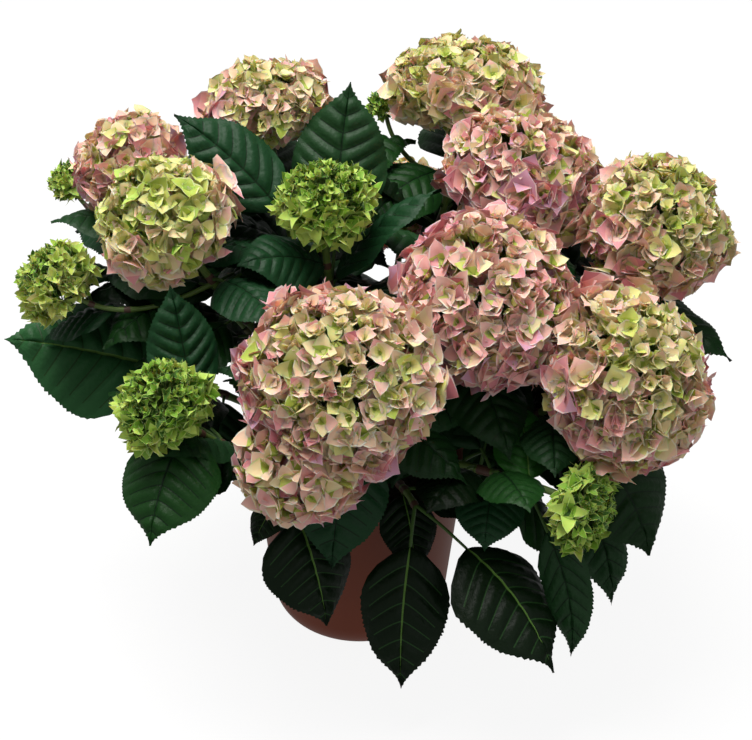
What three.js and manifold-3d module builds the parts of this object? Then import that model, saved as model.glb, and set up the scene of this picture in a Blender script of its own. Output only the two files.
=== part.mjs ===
// A potted bigleaf hydrangea, in millimetres, +Z up. The origin is the middle of the pot's flat
// underside, and the side that shows most bloom faces -Y. Compass angles are degrees from +X towards +Y.
import * as THREE from "three";
import { mergeVertices } from "three/addons/utils/BufferGeometryUtils.js";
import Module from "manifold-3d";

const wasm = await Module();
wasm.setup();

// Driving dimensions
const CLEAR = 0.3;
const GUARD = 0.5;
const WELD = 1e-4;
const AXIS_LIKE = 0.9;
const POT = {
  foot: 50,
  corner: 35,
  slope: 0.117,
  height: 175,
  wall: 3.2,
  floor: 4,
  lip: 3.5,
  lipHeight: 9,
  lipRound: 1,
  sides: 32,
};
const SOIL_TOP = 150;
const CROWN = { foot: 21, waist: 14.5, shoulder: 14, top: 9, height: 56, flare: 12, lean: 3, sides: 12 };
const TIERS = { low: 168, middle: 183, high: 197 };
const STEM = { bough: 5.2, join: 4, bloom: 3, twig: 2.6, twigTaper: 0.8, sides: 5, step: 30 };
const LEAF = { stalk: 24, bend: 45, thick: 0.014, stalkThick: 2.6, arch: 0.2, lowest: 8 };
const FILL = { down: 118, blade: 86, blades: 22, rise: -12, rises: 34 };
const BLOOM = {
  core: 0.86,
  seat: 0.6,
  spread: 126,
  share: 3300,
  fewest: 6,
  overlap: 1.2,
  stray: 0.3,
  dip: 0.06,
  vary: 0.16,
  dent: 0.3,
};
const SEEDS = { bloom: 101, fill: 501 };

// Each shoot runs from the crown to its flower head or leafy tip. at is the middle of the head, half
// its half sizes across, deep and along its own axis, and lean the compass and rise of that axis.
// A leaf is [distance down the stem from the head, compass, rise, blade, twist, stalk, bend, width].
const SHOOTS = [
  {
    name: "back_left_top",
    tier: "high",
    at: [-86, 130, 482],
    half: [61, 58, 40],
    lean: [120, 80],
    reach: 150,
    leaves: [
      [96, 200, 10, 90, 0, 20],
      [84, 24, 5, 116, 0, 32],
      [95, 110, 12, 110, 0],
      [98, 244, 26, 82, 0],
      [140, 170, 5, 110, 0],
    ],
  },
  {
    name: "left_upper",
    tier: "middle",
    at: [-207, 60, 451],
    half: [53, 53, 47],
    lean: [170, 66],
    reach: 130,
    leaves: [
      [80, 194, 8, 88, 0, 32],
      [66, 96, 6, 100, 0],
      [100, 150, -8, 112, 0],
      [100, 320, 10, 90, 0],
      [140, 222, -12, 108, 0],
    ],
  },
  {
    name: "left_outer_bud",
    on: "left_upper",
    down: 92,
    at: [-275, 120, 405],
    half: [19, 19, 22],
    lean: [150, 60],
    reach: 55,
    leaves: [[30, 60, 10, 60, 0]],
  },
  {
    name: "left_middle",
    tier: "high",
    at: [-169, -30, 438],
    half: [62, 60, 55],
    lean: [215, 60],
    reach: 130,
    leaves: [
      [80, 306, -6, 92, 0],
      [95, 30, 7, 90, 0],
      [130, 228, -20, 100, 0],
      [135, 88, -3, 100, 0],
    ],
  },
  {
    name: "left_green",
    on: "left_middle",
    down: 84,
    at: [-270, -20, 374],
    half: [40, 40, 35],
    lean: [184, 55],
    reach: 75,
    leaves: [
      [74, 168, -30, 84, 0, 14],
      [40, 110, -10, 90, 0],
    ],
  },
  {
    name: "back_right_top",
    tier: "middle",
    at: [102, 170, 482],
    half: [80, 68, 46],
    lean: [60, 80],
    reach: 150,
    leaves: [
      [78, 225, -16, 100, -20],
      [66, 20, -17, 110, 0],
      [90, 80, 4, 115, 0],
      [106, 212, 3, 105, -35],
      [130, 60, -6, 120, 0],
    ],
  },
  {
    name: "back_bud",
    on: "back_right_top",
    down: 96,
    at: [25, 190, 455],
    half: [18, 18, 18],
    lean: [100, 75],
    reach: 50,
    leaves: [],
  },
  {
    name: "right_upper",
    tier: "high",
    at: [151, 60, 442],
    half: [77, 69, 56],
    lean: [350, 74],
    reach: 130,
    leaves: [
      [76, 306, -4, 95, 0],
      [84, 60, 6, 110, 0],
      [110, 188, 20, 95, 0],
      [120, 337, 0, 115, 0],
    ],
  },
  {
    name: "right_outer",
    tier: "middle",
    at: [266, 20, 407],
    half: [72, 69, 66],
    lean: [325, 54],
    reach: 140,
    leaves: [
      [74, 50, 0, 105, 0],
      [82, 248, 5, 86, 0],
      [100, 332, -16, 136, 10, 24, 45, 0.7],
      [100, 120, -5, 108, 0],
      [150, 20, -15, 118, 0],
    ],
  },
  {
    name: "centre_right",
    tier: "high",
    at: [111, -90, 388],
    half: [80, 80, 66],
    lean: [285, 55],
    reach: 110,
    leaves: [
      [78, 292, -31, 104, 0],
      [84, 205, -12, 104, 0],
      [100, 30, 0, 108, 0],
      [92, 334, -4, 92, 0],
      [122, 250, -28, 112, 0],
    ],
  },
  {
    name: "front_centre",
    tier: "high",
    at: [-12, -184, 366],
    half: [88, 82, 68],
    lean: [268, 42],
    reach: 120,
    leaves: [
      [90, 205, -30, 100, 0],
      [92, 330, -26, 108, 0],
      [122, 180, 14, 104, 0],
      [106, 172, 22, 92, 0],
      [124, 258, -62, 118, 0, 30],
    ],
  },
  {
    name: "right_front",
    tier: "low",
    at: [230, -130, 337],
    half: [78, 82, 66],
    lean: [315, 42],
    reach: 130,
    leaves: [
      [96, 320, -50, 118, 20, 44, 45, 1.25],
      [92, 24, -4, 108, 0],
      [112, 318, -68, 132, 30, 66, 45, 0.55],
      [124, 60, -10, 108, 0],
      [150, 345, -40, 115, 0],
    ],
  },
  {
    name: "middle_green",
    tier: "high",
    at: [-29, 0, 441],
    half: [45, 45, 39],
    lean: [300, 86],
    reach: 110,
    leaves: [
      [96, 79, 60, 126, 12, 70, 0, 0.98],
      [66, 210, 14, 92, -30, 4],
      [92, 8, 41, 130, -2, 14, 45, 0.6],
      [94, 272, 10, 96, 0],
      [104, 318, -5, 104, 0],
      [84, 157, 36, 129, -40, 82, 36, 0.76],
    ],
  },
  {
    name: "left_front_green",
    tier: "low",
    at: [-162, -168, 334],
    half: [43, 43, 37],
    lean: [225, 60],
    reach: 100,
    leaves: [
      [62, 117, 66, 102, -8, 30, -10, 0.86],
      [42, 250, -41, 104, 0, 8, 45, 1.2],
      [92, 152, 4, 100, 0],
    ],
  },
  {
    name: "right_low_green",
    tier: "middle",
    at: [194, -190, 246],
    half: [43, 43, 26],
    lean: [326, -4],
    reach: 110,
    leaves: [
      [56, 100, 39, 74, 0, 4, 20, 1.05],
      [62, 310, -72, 122, 50, 48, 45, 0.5],
      [92, 258, -36, 66, 0, 10, 45, 1.3],
      [104, 350, -54, 105, 0],
      [112, 66, 34, 92, 0],
    ],
  },
  {
    name: "back_left_low",
    tier: "low",
    at: [-130, 205, 330],
    half: [56, 56, 46],
    lean: [120, 55],
    reach: 110,
    leaves: [
      [62, 60, -20, 104, 0],
      [64, 170, -6, 106, 0],
      [90, 110, -40, 116, 0],
      [100, 200, -25, 108, 0],
    ],
  },
  {
    name: "back_low",
    tier: "low",
    at: [45, 245, 318],
    half: [60, 60, 50],
    lean: [82, 50],
    reach: 110,
    leaves: [
      [66, -4, -10, 104, 0],
      [68, 180, 2, 104, 0],
      [96, 70, -48, 116, 0],
      [110, 130, -40, 108, 0],
    ],
  },
  {
    name: "back_right_low",
    tier: "low",
    at: [225, 180, 330],
    half: [57, 57, 47],
    lean: [38, 54],
    reach: 110,
    leaves: [
      [64, 328, -2, 104, 0],
      [66, 100, -13, 104, 0],
      [96, 30, -42, 116, 0],
      [120, 350, -35, 112, 0],
    ],
  },
  {
    name: "low_front_left",
    tier: "low",
    at: [-66, -118, 210],
    lean: [245, 10],
    reach: 55,
    leaves: [
      [4, 302, -62, 104, 0, 26, 45, 1.2],
      [4, 236, -34, 52, 0, 8],
      [40, 186, 14, 100, 0, 16],
    ],
  },
  {
    name: "low_front",
    tier: "low",
    at: [52, -130, 202],
    lean: [290, -10],
    reach: 55,
    leaves: [
      [4, 261, -66, 132, 0, 38, 45, 0.84],
      [6, 316, -38, 134, 0, 66, 45, 1.06],
      [40, 285, -55, 74, 0, 10],
      [30, 345, -14, 72, 0, 18],
    ],
  },
  {
    name: "low_left",
    tier: "middle",
    at: [-165, 0, 262],
    lean: [178, 26],
    reach: 70,
    leaves: [
      [4, 176, 10, 150, -40, 24, 26, 1.1],
      [4, 120, -20, 118, 0],
      [44, 262, -42, 92, 0, 10, 45, 0.95],
    ],
  },
  {
    name: "low_right",
    tier: "low",
    at: [150, 12, 235],
    lean: [5, 25],
    reach: 60,
    leaves: [
      [4, 335, -45, 120, 0],
      [4, 48, -30, 120, 0],
      [40, 290, -54, 80, 0, 16],
    ],
  },
  {
    name: "front_lobe",
    on: "front_centre",
    down: 70,
    at: [-47, -212, 298],
    half: [55, 48, 42],
    lean: [250, 10],
    reach: 50,
    leaves: [],
  },
];

// A seeded stream of numbers from 0 to 1, the same on every run.
function seededStream(seed) {
  let state = seed >>> 0;
  return () => {
    state = (state + 0x6d2b79f5) >>> 0;
    let mixed = Math.imul(state ^ (state >>> 15), state | 1);
    mixed ^= mixed + Math.imul(mixed ^ (mixed >>> 7), mixed | 61);
    return ((mixed ^ (mixed >>> 14)) >>> 0) / 4294967296;
  };
}

function heading(compass, rise) {
  const a = THREE.MathUtils.degToRad(compass);
  const r = THREE.MathUtils.degToRad(rise);
  return new THREE.Vector3(Math.cos(r) * Math.cos(a), Math.cos(r) * Math.sin(a), Math.sin(r));
}

// A closed geometry as a solid whose faces point outwards.
function solidOf(geometry) {
  const bare = geometry.clone();
  bare.deleteAttribute("normal");
  bare.deleteAttribute("uv");
  const merged = mergeVertices(bare, WELD);
  const triVerts = new Uint32Array(merged.index.array);
  const vertProperties = new Float32Array(merged.attributes.position.array);
  const made = new wasm.Manifold(new wasm.Mesh({ numProp: 3, vertProperties, triVerts }));
  if (made.volume() >= 0) return made;
  for (let i = 0; i < triVerts.length; i += 3) {
    [triVerts[i + 1], triVerts[i + 2]] = [triVerts[i + 2], triVerts[i + 1]];
  }
  return new wasm.Manifold(new wasm.Mesh({ numProp: 3, vertProperties, triVerts }));
}

function geometryOf(solid) {
  const { vertProperties, triVerts, numProp, numVert } = solid.getMesh();
  const places = new Float32Array(numVert * 3);
  for (let i = 0; i < numVert; i++) {
    places.set(vertProperties.subarray(i * numProp, i * numProp + 3), i * 3);
  }
  const geometry = new THREE.BufferGeometry();
  geometry.setAttribute("position", new THREE.BufferAttribute(places, 3));
  geometry.setIndex(new THREE.BufferAttribute(new Uint32Array(triVerts), 1));
  return geometry;
}

function turned(profile, sides) {
  const points = profile.map(([r, z]) => new THREE.Vector2(r, z));
  return new THREE.LatheGeometry(points, sides).rotateX(Math.PI / 2);
}

// Pieces fused to one body: a loose scrap is dropped, and a hollow that the fusing seals is filled.
function oneBody(pieces) {
  const bodies = wasm.Manifold.union(pieces).decompose();
  return bodies.reduce((best, body) => (body.volume() > best.volume() ? body : best));
}

// The pot: a flat foot, a wide rounded corner, a wall that opens upwards and a thin rolled lip.
function potCorner(inset) {
  const steps = 4;
  const tilt = Math.atan(POT.slope);
  const radius = POT.corner - inset;
  return Array.from({ length: steps + 1 }, (_, i) => {
    const a = -Math.PI / 2 + ((Math.PI / 2 - tilt) * i) / steps;
    return [POT.foot + radius * Math.cos(a), POT.corner + radius * Math.sin(a)];
  });
}

function potWall(z, inset) {
  const [r, from] = potCorner(inset).at(-1);
  return [r + (z - from) * POT.slope, z];
}

function potSolid() {
  const under = POT.height - POT.lipHeight;
  const inner = potCorner(POT.wall).map(([r, z]) => [r, Math.max(z, POT.floor)]);
  const profile = [
    [0, 0],
    ...potCorner(0),
    potWall(under, 0),
    [potWall(under, 0)[0] + POT.lip, under + POT.lipRound],
    [potWall(POT.height, 0)[0] + POT.lip - POT.lipRound, POT.height],
    potWall(POT.height, POT.wall),
    ...inner.reverse(),
    [0, POT.floor],
  ];
  return solidOf(turned(profile, POT.sides));
}

function soilSolid() {
  const inset = POT.wall + CLEAR;
  const bottom = POT.floor + CLEAR;
  const side = potCorner(inset).filter(([, z]) => z > bottom);
  const profile = [[0, bottom], [POT.foot, bottom], ...side, potWall(SOIL_TOP, inset), [0, SOIL_TOP]];
  return solidOf(turned(profile, POT.sides));
}

// The woody crown: a flat cut on the soil, a flared foot, a slight lean and a blunt top.
function crownSolid(grow) {
  const foot = SOIL_TOP + CLEAR - grow;
  const flareTop = SOIL_TOP + CROWN.flare;
  const top = SOIL_TOP + CROWN.height;
  const profile = [
    [0, foot],
    [CROWN.foot + grow, foot],
    [(CROWN.foot + CROWN.waist) / 2 + grow, SOIL_TOP + CROWN.flare / 3],
    [CROWN.waist + grow, flareTop],
    [CROWN.shoulder + grow, top - CROWN.top],
    [CROWN.top + grow, top + grow],
    [0, top + grow],
  ];
  const geometry = turned(profile, CROWN.sides);
  const place = geometry.attributes.position;
  for (let i = 0; i < place.count; i++) {
    const share = (place.getZ(i) - SOIL_TOP) / CROWN.height;
    place.setX(i, place.getX(i) + CROWN.lean * share);
  }
  return solidOf(geometry);
}

// A tapering limb along a curve, between two distances, as a cylinder bent to the curve.
function limbSolid(route, from, to, thick, thin, sides, grow = 0) {
  const steps = Math.max(3, Math.round((to - from) / STEM.step));
  const geometry = new THREE.CylinderGeometry(thin + grow, thick + grow, 1, sides, steps);
  const place = geometry.attributes.position;
  const vertex = new THREE.Vector3();
  for (let i = 0; i < place.count; i++) {
    vertex.fromBufferAttribute(place, i);
    const share = THREE.MathUtils.clamp((from + (to - from) * (vertex.y + 0.5)) / route.length, 0, 1);
    const along = route.curve.getTangentAt(share);
    const across = new THREE.Vector3().crossVectors(route.side, along);
    const point = route.curve.getPointAt(share);
    point.addScaledVector(route.side, vertex.x).addScaledVector(across, vertex.z);
    place.setXYZ(i, point.x, point.y, point.z);
  }
  return solidOf(geometry);
}

function routeOf(start, end, lean, reach) {
  const pull = end.clone().addScaledVector(lean, -reach);
  const curve = new THREE.QuadraticBezierCurve3(start, pull, end);
  const side = new THREE.Vector3().crossVectors(pull.clone().sub(start), end.clone().sub(pull));
  if (side.length() < 1) side.crossVectors(lean, new THREE.Vector3(0, 1, 0));
  return { curve, side: side.normalize(), length: curve.getLength() };
}

// A leaf: a thin stalk, then a broad pointed blade, arched across its midrib and bent along it.
// Each station is its share of the blade's length and the blade's half width there.
const STATIONS = [
  [0, 0.014],
  [0.17, 0.24],
  [0.42, 0.34],
  [0.73, 0.21],
];

function leafSolid(root, leaf, grow = 0) {
  const [, compass, rise, blade, twist, stalk = LEAF.stalk, bend = LEAF.bend, broad = 1] = leaf;
  const turn = THREE.MathUtils.degToRad(twist);
  const level = heading(compass + 90, 0);
  const slopeAt = (share) => rise + bend * (0.5 - share);
  const spot = root.clone().addScaledVector(heading(compass, slopeAt(0)), stalk);
  let reached = 0;
  const places = [root.clone()];
  for (const [share, narrow] of STATIONS) {
    const width = share ? narrow * broad : narrow;
    spot.addScaledVector(heading(compass, slopeAt((share + reached) / 2)), (share - reached) * blade);
    reached = share;
    const along = heading(compass, slopeAt(share));
    const over = new THREE.Vector3().crossVectors(along, level);
    const side = level.clone().multiplyScalar(Math.cos(turn)).addScaledVector(over, Math.sin(turn));
    const face = new THREE.Vector3().crossVectors(along, side);
    const thick = share ? LEAF.thick * blade : LEAF.stalkThick;
    const edge = spot.clone().addScaledVector(face, share ? -LEAF.arch * width * blade : -thick / 2);
    places.push(
      spot.clone().addScaledVector(face, grow),
      spot.clone().addScaledVector(face, -thick - grow),
      edge.clone().addScaledVector(side, width * blade + grow),
      edge.clone().addScaledVector(side, -width * blade - grow),
    );
  }
  const last = places.length;
  places.push(
    spot.addScaledVector(heading(compass, slopeAt((1 + reached) / 2)), (1 - reached) * blade + grow),
  );
  const faces = [];
  const end = STATIONS.length - 1;
  const at = (station, corner) => 1 + station * 4 + corner;
  for (const [skin, edge] of [[0, 2], [2, 1], [1, 3], [3, 0]]) {
    faces.push(0, at(0, skin), at(0, edge));
    for (let k = 0; k < end; k++) {
      faces.push(at(k, skin), at(k + 1, skin), at(k, edge));
      faces.push(at(k, edge), at(k + 1, skin), at(k + 1, edge));
    }
    faces.push(at(end, skin), last, at(end, edge));
  }
  const geometry = new THREE.BufferGeometry().setFromPoints(places);
  geometry.setIndex(faces);
  return solidOf(geometry);
}

// The frame of a flower head: its own axis, and two directions across it.
function headFrame(shoot) {
  const axis = heading(...shoot.lean);
  const wide = new THREE.Vector3(1, 0, 0);
  if (Math.abs(axis.x) > AXIS_LIKE) wide.set(0, 1, 0);
  wide.addScaledVector(axis, -wide.dot(axis)).normalize();
  return { axis, wide, deep: new THREE.Vector3().crossVectors(axis, wide) };
}

function headPoint(shoot, frame, polar, around, scale) {
  const [across, deep, along] = shoot.half;
  return shoot.end
    .clone()
    .addScaledVector(frame.wide, across * scale * Math.sin(polar) * Math.cos(around))
    .addScaledVector(frame.deep, deep * scale * Math.sin(polar) * Math.sin(around))
    .addScaledVector(frame.axis, along * scale * Math.cos(polar));
}

function headCore(shoot, grow = 0) {
  const frame = headFrame(shoot);
  const [across, deep, along] = shoot.half.map((half) => half * BLOOM.core + grow);
  const geometry = new THREE.IcosahedronGeometry(1, 0);
  const basis = new THREE.Matrix4().makeBasis(frame.wide, frame.deep, frame.axis);
  geometry.scale(across, deep, along).applyMatrix4(basis).translate(...shoot.end.toArray());
  return solidOf(geometry);
}

// The florets of a head: four-cornered cups set in a spiral, narrow end in the core.
function floretPlans(shoot, random) {
  const frame = headFrame(shoot);
  const [across, deep, along] = shoot.half;
  const spread = THREE.MathUtils.degToRad(BLOOM.spread);
  const girdle = (across + deep) / 2;
  const area = 2 * Math.PI * girdle * ((girdle + along) / 2) * (1 - Math.cos(spread));
  const count = Math.max(BLOOM.fewest, Math.round(area / BLOOM.share));
  const size = Math.sqrt(area / count) * BLOOM.overlap;
  const golden = Math.PI * (3 - Math.sqrt(5));
  return Array.from({ length: count }, (_, i) => {
    const polar = Math.acos(1 - ((i + 0.5) / count) * (1 - Math.cos(spread)));
    const around = i * golden + BLOOM.stray * random();
    const reach = 1 - BLOOM.dip * random();
    return {
      seat: headPoint(shoot, frame, polar, around, BLOOM.seat),
      face: headPoint(shoot, frame, polar, around, reach),
      size: size * (1 + BLOOM.vary * (random() - 0.5)),
      spin: (Math.PI / 2) * random(),
    };
  });
}

function floretSolid({ seat, face, size, spin }, grow = 0) {
  const out = face.clone().sub(seat);
  const tall = out.length() + 2 * grow;
  const geometry = new THREE.ConeGeometry(size / 2 + 2 * grow, tall, 4);
  const place = geometry.attributes.position;
  const dent = tall * BLOOM.dent;
  for (let i = 0; i < place.count; i++) {
    const middle = Math.hypot(place.getX(i), place.getZ(i)) < WELD;
    if (middle && place.getY(i) < 0) place.setY(i, place.getY(i) + dent);
  }
  geometry.rotateY(spin).rotateX(Math.PI);
  const turn = new THREE.Quaternion().setFromUnitVectors(new THREE.Vector3(0, 1, 0), out.clone().normalize());
  geometry.applyQuaternion(turn).translate(...seat.clone().lerp(face, 0.5).toArray());
  return solidOf(geometry);
}

// Everything placed so far, so that a floret or leaf that would touch another mass is skipped.
const placed = [];

function record(owner, kind, solid) {
  placed.push({ owner, kind, solid, box: solid.boundingBox() });
}

function apart(a, b) {
  return [0, 1, 2].some((k) => a.min[k] > b.max[k] || b.min[k] > a.max[k]);
}

function touches(owner, guard, blockedBy) {
  const box = guard.boundingBox();
  return placed.some((item) => {
    if (!blockedBy(item, owner) || apart(box, item.box)) return false;
    return guard.intersect(item.solid).volume() > 0;
  });
}

const byName = new Map(SHOOTS.map((shoot) => [shoot.name, shoot]));
const crown = crownSolid(0);
const pot = potSolid();
const soil = soilSolid();
const boughs = new Map();
const masses = new Map();
record("pot", "limb", pot);
record("crown", "limb", crown);
record("soil", "limb", soil);

// Routes, boughs and stems. A side shoot starts on the stem of the shoot that carries it, and a bough
// is cut clear of the crown and of the boughs before it, where they crowd together at its top.
const SPLIT = 0.46;
const taken = [crownSolid(CLEAR)];
for (const shoot of SHOOTS) {
  shoot.end = new THREE.Vector3(...shoot.at);
  shoot.axis = heading(...shoot.lean);
  shoot.owner = shoot.on ?? shoot.name;
  const carrier = byName.get(shoot.on);
  const start = carrier
    ? carrier.route.curve.getPointAt(1 - shoot.down / carrier.route.length)
    : new THREE.Vector3(0, 0, TIERS[shoot.tier]);
  shoot.route = routeOf(start, shoot.end, shoot.axis, shoot.reach);
  const whole = shoot.route.length;
  if (carrier) {
    const twig = limbSolid(shoot.route, 0, whole, STEM.twig, STEM.twig * STEM.twigTaper, STEM.sides - 1);
    record(shoot.owner, "limb", twig);
    masses.get(shoot.owner).push(twig);
  } else {
    const split = whole * SPLIT;
    const boughAt = (grow) =>
      limbSolid(shoot.route, 0, split, STEM.bough, STEM.join, STEM.sides + 1, grow);
    const bough = oneBody([boughAt(0).subtract(wasm.Manifold.union(taken))]);
    taken.push(boughAt(CLEAR));
    boughs.set(shoot.name, bough);
    record("bough " + shoot.name, "limb", bough);
    const stem = limbSolid(shoot.route, split + CLEAR, whole, STEM.join, STEM.bloom, STEM.sides);
    masses.set(shoot.name, [stem]);
    record(shoot.name, "limb", stem);
  }
}

// Flower heads: every core first, then the florets that stand out of them.
const heads = SHOOTS.filter((shoot) => shoot.half);
for (const shoot of heads) {
  const core = headCore(shoot);
  masses.get(shoot.owner).push(core);
  record(shoot.owner, "head", core);
}
heads.forEach((shoot, index) => {
  const random = seededStream(SEEDS.bloom + index);
  for (const plan of floretPlans(shoot, random)) {
    if (touches(shoot.owner, floretSolid(plan, GUARD), (item, owner) => item.owner !== owner)) continue;
    const floret = floretSolid(plan);
    masses.get(shoot.owner).push(floret);
    record(shoot.owner, "head", floret);
  }
});

// Leaves: each takes the first of its tries that touches nothing of another mass and no flower head.
const TRIES = [
  [0, 0],
  [8, 0],
  [-8, 0],
  [0, -9],
  [0, 9],
  [14, -8],
  [-14, -8],
  [20, 6],
  [-20, 6],
  [0, -20],
];

function placeLeaf(shoot, leaf) {
  const [down, compass, rise, ...rest] = leaf;
  const root = shoot.route.curve.getPointAt(1 - down / shoot.route.length);
  const blocks = (item, owner) => item.owner !== owner || item.kind === "head";
  for (const [turn, lift] of TRIES) {
    const tried = [down, compass + turn, rise + lift, ...rest];
    if (touches(shoot.owner, leafSolid(root, tried, GUARD), blocks)) continue;
    const blade = leafSolid(root, tried);
    if (blade.boundingBox().min[2] < LEAF.lowest) continue;
    masses.get(shoot.owner).push(blade);
    record(shoot.owner, "leaf", blade);
    return;
  }
}

for (const shoot of SHOOTS) {
  for (const leaf of shoot.leaves) placeLeaf(shoot, leaf);
}

// One opposite pair lower on each stem, turned by a seeded rule, fills the inside of the plant.
heads.forEach((shoot, index) => {
  const random = seededStream(SEEDS.fill + index);
  const compass = 360 * random();
  for (const turn of [0, 180]) {
    const rise = FILL.rise + FILL.rises * random();
    const blade = FILL.blade + FILL.blades * random();
    const low = shoot.route.length * (1 - SPLIT);
    if (FILL.down < low) placeLeaf(shoot, [FILL.down, compass + turn, rise, blade, 0]);
  }
});

// The scene graph
const LOOKS = {
  pot: { color: 0x7a4630, roughness: 0.6 },
  soil: { color: 0x2b1f17, roughness: 0.95 },
  crown: { color: 0x5c4a36, roughness: 0.9 },
  bough: { color: 0x5f6a3a, roughness: 0.8 },
  mass: { color: 0x4f7a38, roughness: 0.6 },
};

function meshOf(name, solid, look, anchor) {
  const geometry = geometryOf(solid).translate(-anchor.x, -anchor.y, -anchor.z);
  const material = new THREE.MeshStandardMaterial({ ...LOOKS[look], metalness: 0 });
  const mesh = new THREE.Mesh(geometry, material);
  mesh.name = name;
  mesh.position.copy(anchor);
  return mesh;
}

const hydrangea = new THREE.Group();
const origin = new THREE.Vector3();
hydrangea.add(meshOf("pot", pot, "pot", origin));
hydrangea.add(meshOf("soil", soil, "soil", origin));
hydrangea.add(meshOf("crown", crown, "crown", new THREE.Vector3(0, 0, SOIL_TOP)));
for (const [name, bough] of boughs) {
  const { route } = byName.get(name);
  hydrangea.add(meshOf("bough_" + name, bough, "bough", route.curve.getPoint(0)));
}
for (const [name, pieces] of masses) {
  const { route } = byName.get(name);
  hydrangea.add(meshOf("mass_" + name, oneBody(pieces), "mass", route.curve.getPointAt(SPLIT)));
}

export default hydrangea;
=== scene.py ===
"""A potted bigleaf hydrangea, dressed: leaves, stems, flower heads, bark, compost and pot.

The plant grows by the table and rule of its solids, in millimetres and compass angles in degrees
from +X towards +Y, and is carried to single florets, veins and leaf teeth. Meshes are in metres.
"""

import math
from types import SimpleNamespace as Named

import bpy
import numpy as np
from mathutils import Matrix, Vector
from mathutils.bvhtree import BVHTree


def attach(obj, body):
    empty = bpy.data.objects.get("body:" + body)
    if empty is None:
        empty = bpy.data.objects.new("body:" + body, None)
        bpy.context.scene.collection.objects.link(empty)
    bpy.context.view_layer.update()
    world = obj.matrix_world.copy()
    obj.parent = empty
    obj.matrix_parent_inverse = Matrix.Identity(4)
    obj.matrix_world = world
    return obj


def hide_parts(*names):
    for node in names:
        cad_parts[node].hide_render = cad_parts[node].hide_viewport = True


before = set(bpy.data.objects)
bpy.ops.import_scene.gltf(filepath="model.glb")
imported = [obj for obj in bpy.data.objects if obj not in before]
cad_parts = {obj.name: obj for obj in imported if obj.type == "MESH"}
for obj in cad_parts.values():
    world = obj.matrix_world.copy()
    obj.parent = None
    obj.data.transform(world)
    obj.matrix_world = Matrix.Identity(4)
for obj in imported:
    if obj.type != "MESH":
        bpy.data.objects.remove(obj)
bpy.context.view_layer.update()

# Driving sizes, in millimetres, as in the solids
MM = 0.001
CLEAR = 0.3
POT = Named(
    foot=50, corner=35, slope=0.117, height=175, wall=3.2, floor=4, lip=3.5, lip_height=9, lip_round=1,
    sides=160,
)
SOIL_TOP = 150
CROWN = Named(foot=21, waist=14.5, shoulder=14, top=9, height=56, flare=12, lean=3)
TIERS = {"low": 168, "middle": 183, "high": 197}
SPLIT = 0.46
STEM = Named(bough=5.2, join=4, bloom=3, twig=2.6, twig_taper=0.8, sides=9, step=3.0)
STEM_JOINT = Named(swell=0.28, long=4, brown=3.5, pale_top=70)
LEAF = Named(stalk=24, bend=45, arch=0.2, lowest=8)
FILL = Named(downs=(118,), blade=86, blades=22, rise=-12, rises=34, seed=501)
BLOOM = Named(spread=126, stray=0.3)
HEAD = Named(
    cluster=46, cluster_dip=0.34, lump=0.08, swell=1.05, outer=(0.6, 1.7), stray=0.07,
    sizes=(0.84, 1.14), open_stray=0.18, sunk=(0.86, 0.5, 0.5),
)
# Inside a head, small florets turned every way fill the gaps between the outer ones.
INNER = Named(wider=14, turn=1.3, tilt=0.45, sizes=(0.75, 1.0), openness=(0, 0.7))
HEAD_STALK = Named(hub=0.55, spread=0.8, knots=0.42, stray=1.2, thick=0.8)
# An open head's value and a green head's: how close its florets stand, how they lean, their size and
# openness, a sepal's width, the ragged rim, the inner florets, and how lively the colours are.
HEAD_KINDS = {
    "spacing": (0.8, 0.78), "cluster_tilt": (0.55, 0.3), "tilt": (0.4, 0.24),
    "size": ((0.74, 0.76), (0.8, 0.86)), "openness": ((0.08, 0.42), (-0.1, 0.34)), "slim": (0.98, 0.62),
    "rim_reach": (0.06, 0.14), "inner_share": (1.0, 0.5), "inner": ((0.68, 0.84), (0.6, 0.74)),
    # A green head's inner florets keep to the deepest green, which is partly painted shade in its gaps.
    "inner_tones": ((3, 9), (0, 0.4)), "inner_tone": (-1.0, -0.8), "lively": (1.0, 0.35),
}
OPEN_HEAD, GREEN_HEAD = (Named(**{key: pair[k] for key, pair in HEAD_KINDS.items()}) for k in (0, 1))

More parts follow.
